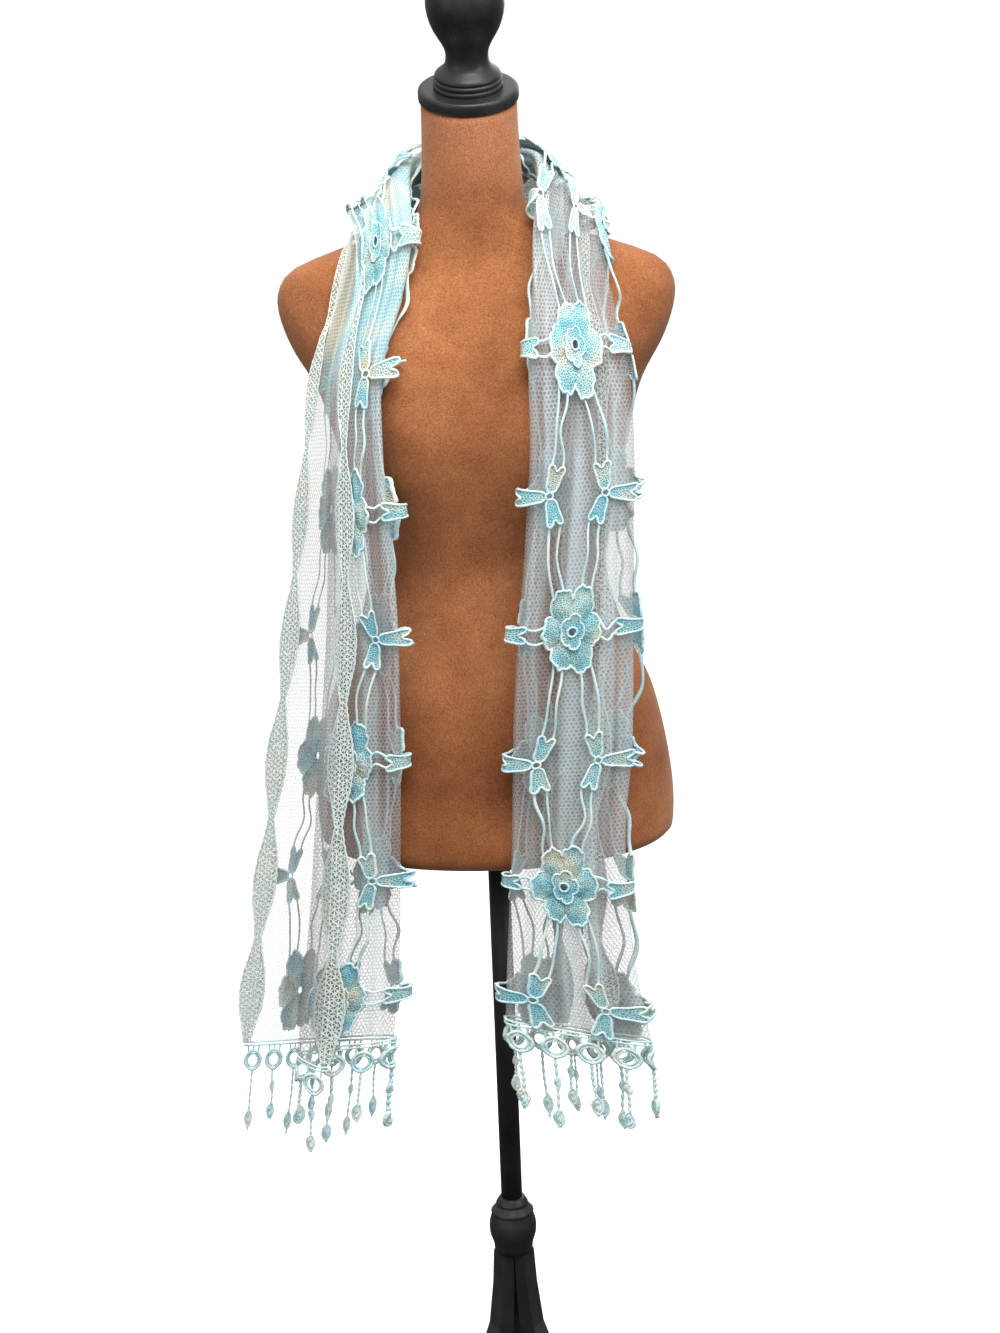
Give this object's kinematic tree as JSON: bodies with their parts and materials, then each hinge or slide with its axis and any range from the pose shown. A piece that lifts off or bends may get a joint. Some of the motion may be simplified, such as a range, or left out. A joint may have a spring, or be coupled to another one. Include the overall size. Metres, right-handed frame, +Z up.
{
  "type": "lace shawl on a dress form",
  "caption": "Long sheer net shawl with raised lace flowers, scalloped edgings and fringed ends, hung round the neck of a limbless dress form on a pole stand.",
  "frame": {"origin": "centre of the footprint at floor level; the pole's axis is at x = 0.0272, y = -0.0435", "axes": "+Z up along the pole, -Y towards the front of the dress form, +X to the left-hand side of the form (image right)"},
  "size_m": [0.4723, 0.378, 1.6094],
  "materials": {
    "suede": "napped",
    "black_wood": "satin paint",
    "black_metal": "satin",
    "net": "sheer net",
    "lace_thread": "matt embroidered thread"
  },
  "bodies": {
    "root": {"form_torso": "suede", "neck_cap": "black_wood", "finial": "black_wood", "pole": "black_metal", "stand_hub": "black_wood", "stand_leg_1": "black_wood", "stand_leg_2": "black_wood", "stand_leg_3": "black_wood", "net_left": "net", "lace_left": "lace_thread", "edging_a_left": "lace_thread", "edging_b_left": "lace_thread", "net_neck": "net", "lace_neck": "lace_thread", "edging_a_neck": "lace_thread", "edging_b_neck": "lace_thread", "net_right": "net", "lace_right": "lace_thread", "edging_a_right": "lace_thread", "edging_b_right": "lace_thread", "trim_left": "lace_thread", "trim_right": "lace_thread"}
  },
  "joints": []
}
